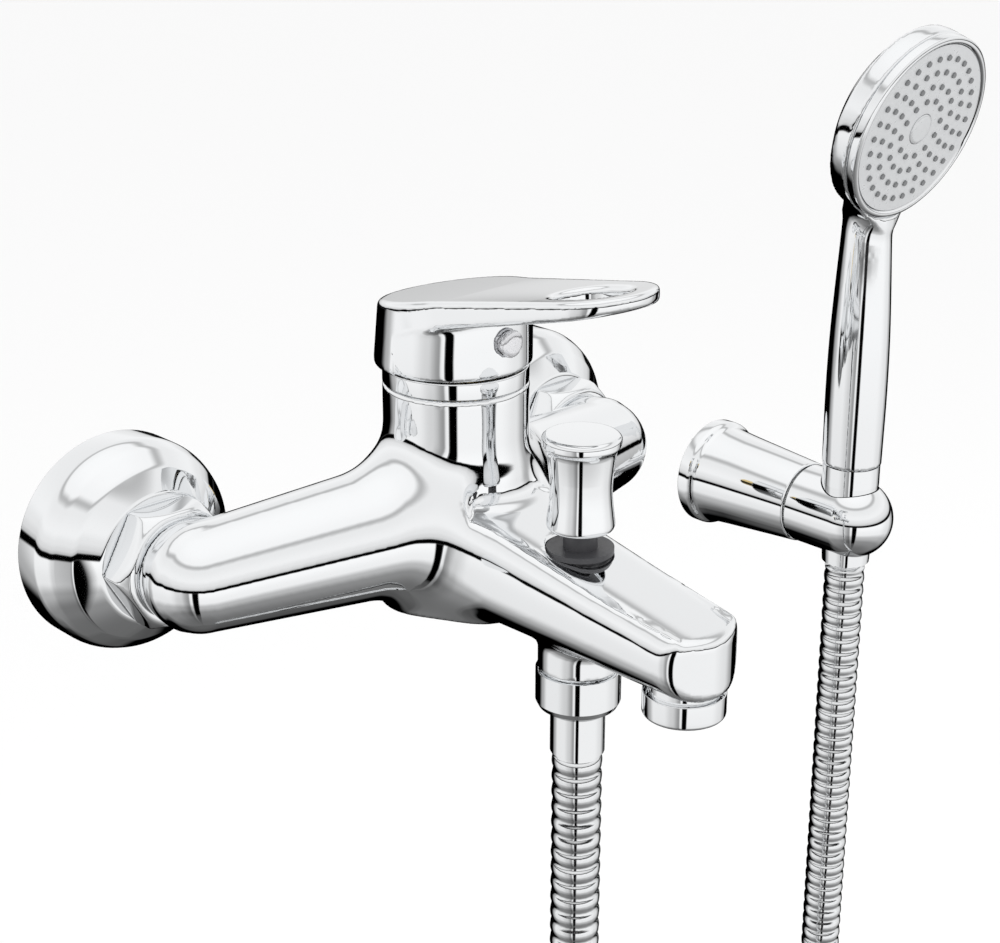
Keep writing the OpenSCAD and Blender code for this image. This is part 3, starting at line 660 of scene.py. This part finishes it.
# The handle's radius by height, before it is smoothed over HANDLE_SMOOTHING mm
HANDLE_KNOTS = [(-26, 9.9), (-22, 10.1), (-8, 10.3), (10, 10.3), (26, 9.8), (44, 8.75), (60, 7.9), (78, 7.4),
                (92, 7.4)]
HANDLE_SMOOTHING = 31
HANDLE_FOOT, HANDLE_END = -26.2, 84
HANDLE_Z = np.arange(-60.0, 125.0)
HANDLE_R = np.convolve(np.interp(np.arange(-75.0, 140.0), *zip(*HANDLE_KNOTS)),
                       np.ones(HANDLE_SMOOTHING) / HANDLE_SMOOTHING, "valid")
# The head's shell as the spray face sees it: its front, the back of its rim and the start of its dome
SHELL_FRONT, RIM_BACK, DOME_START = -3.1, -9.5, -7
SHELL_INSET = 0.6  # how far it stands inside the spray ring
DOME_FLATNESS = 2.5
HEAD_FILLET = 9  # where the handle meets it
CAVITY_INSET, CAVITY_BACK = 3, -9
FOOT_BORE_R, FOOT_BORE_TOP = 8.3, -21.8


def handset_field(p):
    z = p[:, 2]
    off_axis = np.hypot(p[:, 0] - BRACKET_X, p[:, 1] - SOCKET_Y)
    handle = off_axis - np.interp(z, HANDLE_Z, HANDLE_R)
    handle = soft_max(handle, np.maximum(HANDLE_FOOT - z, z - HANDLE_END), 0.6)
    local = from_face(p)
    out, depth = np.hypot(local[:, 0], local[:, 1]), local[:, 2]
    rim = np.maximum(out - HEAD_R + SHELL_INSET, np.maximum(RIM_BACK - depth, depth - SHELL_FRONT))
    squashed = np.minimum(depth - DOME_START, 0) * DOME_FLATNESS
    dome = np.sqrt(out ** 2 + squashed ** 2) - HEAD_R + SHELL_INSET
    head = soft_max(soft_min(rim, dome, 3), depth - SHELL_FRONT, 0.8)
    solid = soft_min(handle, head, HEAD_FILLET)
    in_front = np.maximum(out - HEAD_R - 0.2, SHELL_FRONT - depth)
    solid = np.maximum(solid, -in_front)
    cavity = soft_max(out - HEAD_R + CAVITY_INSET, np.maximum(CAVITY_BACK - depth, depth - 5), 0.5)
    solid = soft_max(solid, -cavity, 0.5)
    bore = np.maximum(off_axis - FOOT_BORE_R, z - FOOT_BORE_TOP)
    return soft_max(solid, -bore, 0.4)


# ---- The nuts ----

NUT_BACK, NUT_FRONT = -23.3, -33.1
NUT_HALF = 16  # across its flats
NUT_BORE_R = 12.1
# The cone that takes off its front corners: radius at the front, and growth for each mm over its length
CHAMFER_R, CHAMFER_SLOPE, CHAMFER_LENGTH = 15.8, 0.8, 6


def hex_nut_field(p, x0):
    x, y, z = p[:, 0] - x0, p[:, 1], p[:, 2]
    sides = [np.abs(x * math.cos(a) + z * math.sin(a)) for a in np.radians((30, 90, 150))]
    flats = np.max(sides, 0) - NUT_HALF
    out = np.hypot(x, z)
    ends = np.maximum(y - NUT_BACK, NUT_FRONT - y)
    chamfer = out - CHAMFER_R - np.minimum(y - NUT_FRONT, CHAMFER_LENGTH) * CHAMFER_SLOPE
    solid = soft_max(soft_max(flats, ends, 0.6), chamfer * 0.75, 0.7)
    return soft_max(solid, NUT_BORE_R - out, 0.4)


def make_fields():
    """The pieces made as distance fields: each with its grid's corners and step."""
    chrome = "polished_chrome"
    made = [
        ("body_casting", body_field, (-92, -159, -37), (92, -26, 44), 1.05, "faucet", chrome,
         "faucet_body"),
        ("loop_lever", lever_field, (-24, -129, 47), (24, -35, 84), 0.7, "lever", chrome,
         "lever_handle"),
        ("handset_body", handset_field, (BRACKET_X - 38, -100, -28), (BRACKET_X + 38, -46, 126), 1.0,
         "handset", "chromed_plastic", "handset_shell"),
    ]
    for side, x in (("left", -INLET_X), ("right", INLET_X)):
        made.append((side + "_hex_nut", partial(hex_nut_field, x0=x), (x - 19, -34, -19),
                     (x + 19, -22, 19), 0.7, "faucet", chrome, side + "_union_nut"))
    for name, field, low, high, step, body, slot, node in made:
        points, quads = surface(field, low, high, step)
        piece(name, points, quads, body, slot, (node,))


# ---- Hose ----

HOSE_D, HOSE_LENGTH = 14.0, 1500.0
TURNS, TURN_STEP = 1.5, 15.0  # of the coil, and how far apart its turns lie
LEG_POINTS, COIL_POINTS = 12, 72
HOSE_TOP = -53.0  # at the outlet's ferrule
HOSE_END = BRACKET_Z - 18.0 - 0.3  # under the holder
TAIL_LENGTH, TAIL_R = 48, 5.9
# The legs hang straight down, and the coil's plane is turned so that it meets both
SPAN = np.array((BRACKET_X, SOCKET_Y - DIVERTER_Y))
SHIFT = TURNS * TURN_STEP
COIL_R = math.sqrt(SPAN @ SPAN - SHIFT ** 2) / 2
COIL_TURN = math.atan2(SPAN[1], SPAN[0]) - math.atan2(SHIFT, 2 * COIL_R)
COIL_U = np.array((math.cos(COIL_TURN), math.sin(COIL_TURN), 0))
COIL_N = np.array((-math.sin(COIL_TURN), math.cos(COIL_TURN), 0))
# Height of its middle, from the length that the legs leave
COIL_Z = (TURNS * math.hypot(2 * math.pi * COIL_R, TURN_STEP) - HOSE_LENGTH + HOSE_TOP + HOSE_END) / 2
COIL_C = np.array((0, DIVERTER_Y, COIL_Z)) + COIL_R * COIL_U + SHIFT / 2 * COIL_N


def hose_route():
    """The hose's centreline: down, round the coil and up again."""
    down = [np.array((0, DIVERTER_Y, HOSE_TOP + (COIL_Z - HOSE_TOP) * i / LEG_POINTS))
            for i in range(LEG_POINTS)]
    turns = []
    for i in range(COIL_POINTS + 1):
        a = i / COIL_POINTS * TURNS * 2 * math.pi
        turns.append(COIL_C + COIL_R * (-math.cos(a) * COIL_U - math.sin(a) * np.array((0, 0, 1)))
                     + COIL_N * SHIFT * (i / COIL_POINTS - 0.5))
    up = [np.array((BRACKET_X, SOCKET_Y, COIL_Z + (HOSE_END - COIL_Z) * i / LEG_POINTS))
          for i in range(1, LEG_POINTS + 1)]
    return np.array(down + turns + up)


def resample(route, step):
    """Points about step apart along a route, and how far along each one is."""
    gaps = np.linalg.norm(np.diff(route, axis=0), axis=1)
    run = np.concatenate([[0], np.cumsum(gaps)])
    places = np.linspace(0, run[-1], int(run[-1] / step) + 1)
    return np.stack([np.interp(places, run, route[:, i]) for i in range(3)], 1), places


CREST_POWER = 0.6  # below 1, which makes the crests of the hose's skin broader than its grooves


def corrugated(route, radius, depth, pitch=4.8, step=0.7, sides=22):
    """A closed tube along a route that is never along COIL_N. Its skin rises and falls once per pitch."""
    line, places = resample(route, step)
    ahead = np.gradient(line, axis=0)
    ahead /= np.linalg.norm(ahead, axis=1)[:, None]
    side = np.cross(COIL_N, ahead)
    side /= np.linalg.norm(side, axis=1)[:, None]
    up = np.cross(ahead, side)
    wave = np.abs(np.sin(math.pi * places / pitch)) ** CREST_POWER
    size = radius - depth * (1 - wave)
    angles = np.arange(sides) * 2 * math.pi / sides
    rings = (line[:, None] + size[:, None, None] * (np.cos(angles)[None, :, None] * side[:, None]
             + np.sin(angles)[None, :, None] * up[:, None]))
    count = len(line)
    starts = np.arange(count - 1)[:, None] * sides
    here = (starts + np.arange(sides)[None]).ravel()
    beside = (starts + (np.arange(sides)[None] + 1) % sides).ravel()
    faces = np.stack([here, beside, beside + sides, here + sides], 1).tolist()
    faces.append(list(range(sides))[::-1])
    faces.append([(count - 1) * sides + k for k in range(sides)])
    return rings.reshape(-1, 3), faces, line


def make_hose():
    vertices, faces, line = corrugated(hose_route(), HOSE_D / 2, 0.75)
    hose = piece("hose", vertices, faces, None, "hose_steel",
                 ("hose_outlet_leg", "hose_coil", "hose_handset_leg"))
    tail_heights = np.linspace(HOSE_END - TAIL_LENGTH, HOSE_END + 1, 20)
    vertices, faces, _ = corrugated(np.array([(BRACKET_X, SOCKET_Y, z) for z in tail_heights]), TAIL_R, 0.5)
    tail = piece("hose_tail", vertices, faces, "hose_end", "hose_steel", ())
    # Each ring's points are put at its centre while the hose's transform is baked into its mesh, and are then
    # put back.
    places = np.empty(len(hose.data.vertices) * 3, np.float32)
    hose.data.vertices.foreach_get("co", places)
    rings = places.reshape(len(line), -1, 3)
    centres = np.broadcast_to(rings.mean(1, keepdims=True), rings.shape)
    hose.data.vertices.foreach_set("co", centres.ravel())
    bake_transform(hose)
    hose.data.vertices.foreach_set("co", rings.ravel())
    hose.data.update()


# ---- Turned pieces ----

# Closed outlines, each point a radius, a height and a corner radius
ROSETTE = [
    (28.4, 0, 0), (30, 0, 0.4), (30, 9.6, 1.6), (28.4, 13.8, 1.2), (24.5, 18.5, 0.8), (18.4, 23, 0.8),
    (12.4, 23, 0.3), (12.4, 21.4, 0.2), (17.6, 21.4, 0.4), (22.9, 16.9, 0.5), (28.4, 9.6, 0.5),
]
KNOB = [
    (2.52, 14, 0), (2.52, 33, 0), (0, 33, 0), (0, 39.3, 0), (9.6, 39.3, 0.5), (10.55, 38.5, 0.7),
    (10.6, 36.4, 0.6), (9.5, 35.4, 0.5), (9.2, 34.4, 0.6), (8.6, 29.6, 3), (8.2, 25.6, 3), (8.3, 21.6, 3),
    (9.0, 15.6, 1.2), (9.1, 14.4, 0.6), (8.7, 13.4, 0.4), (3.2, 13.4, 0.1),
]
COLLAR = [(18.5, 42.9, 0.2), (20.2, 42.9, 0.3), (20.2, 47.6, 0.5), (18.5, 47.6, 0.2)]
AERATOR = [
    (7.8, -26.5, 0.3), (10.4, -26.5, 0.5), (10.9, -25.9, 0.4), (10.9, -19.8, 0.3), (9.5, -19.8, 0.1),
    (9.5, -15.2, 0.2), (7.8, -15.2, 0.1),
]
BRACKET = [
    (15.6, 0, 0), (19, 0, 0.4), (19, 4.6, 1.4), (17.4, 6.2, 1.0), (16.6, 14, 4), (14.2, 44, 0.8),
    (3.05, 44, 0), (3.05, 39.5, 0), (9.5, 39.5, 0.4), (9.5, 6.5, 0.2), (15.6, 6.5, 0.3),
]
SPRAY_RING = [
    (HEAD_R - 2.5, -2.9, 0.1), (HEAD_R, -2.9, 0.5), (HEAD_R, 0.1, 1.2), (HEAD_R - 1, 0.6, 0.5),
    (HEAD_R - 1.8, 0.6, 0.4), (HEAD_R - 2.5, -0.3, 0.3),
]
SPRAY_CAP = [(0, -1.2, 0), (5, -1.2, 0.1), (5, 0.2, 0.2), (4.2, 0.6, 0.4), (0, 0.6, 0)]
BUTTON = [
    (0, 15.5, 0), (3.2, 15.5, 0.1), (3.2, 21.9, 0.1), (3.8, 21.9, 0.1), (3.7, 22.6, 0.4), (2.6, 23.1, 1),
    (0, 23.3, 0),
]


def make_turned():
    """The pieces turned from outlines: each with its place, and the way its axis points."""
    chrome = "polished_chrome"
    made = [
        ("left_rosette_shell", ROSETTE, (-INLET_X, 0, 0), outward, "faucet", chrome, "left_rosette"),
        ("right_rosette_shell", ROSETTE, (INLET_X, 0, 0), outward, "faucet", chrome, "right_rosette"),
        ("knob", KNOB, (0, DIVERTER_Y, 0), upright, "diverter", chrome, "diverter_knob"),
        ("collar", COLLAR, (0, COLUMN_Y, 0), upright, "faucet", chrome, "dress_ring"),
        ("aerator", AERATOR, (0, AERATOR_Y, 0), upright, "faucet", chrome, "aerator_housing"),
        ("bracket_shell", BRACKET, (BRACKET_X, 0, BRACKET_Z), outward, "faucet", chrome, "bracket_body"),
        ("spray_rim", SPRAY_RING, (0, 0, 0), on_face, "handset", "chromed_plastic", "spray_ring"),
        ("spray_button", SPRAY_CAP, (0, 0, 0), on_face, "handset", "satin_grey", "spray_cap"),
        ("hot_cold_mark", BUTTON, (0, COLUMN_Y, BUTTON_Z), outward, "lever", "index_plastic", "index_button"),
    ]
    for name, outline, place, turn, body, slot, node in made:
        vertices, faces = lathe(fillet(outline))
        piece(name, turn(vertices) + np.array(place, float), faces, body, slot, (node,))


make_camera()
dress()
make_hose()
make_stage()
make_turned()
make_fields()
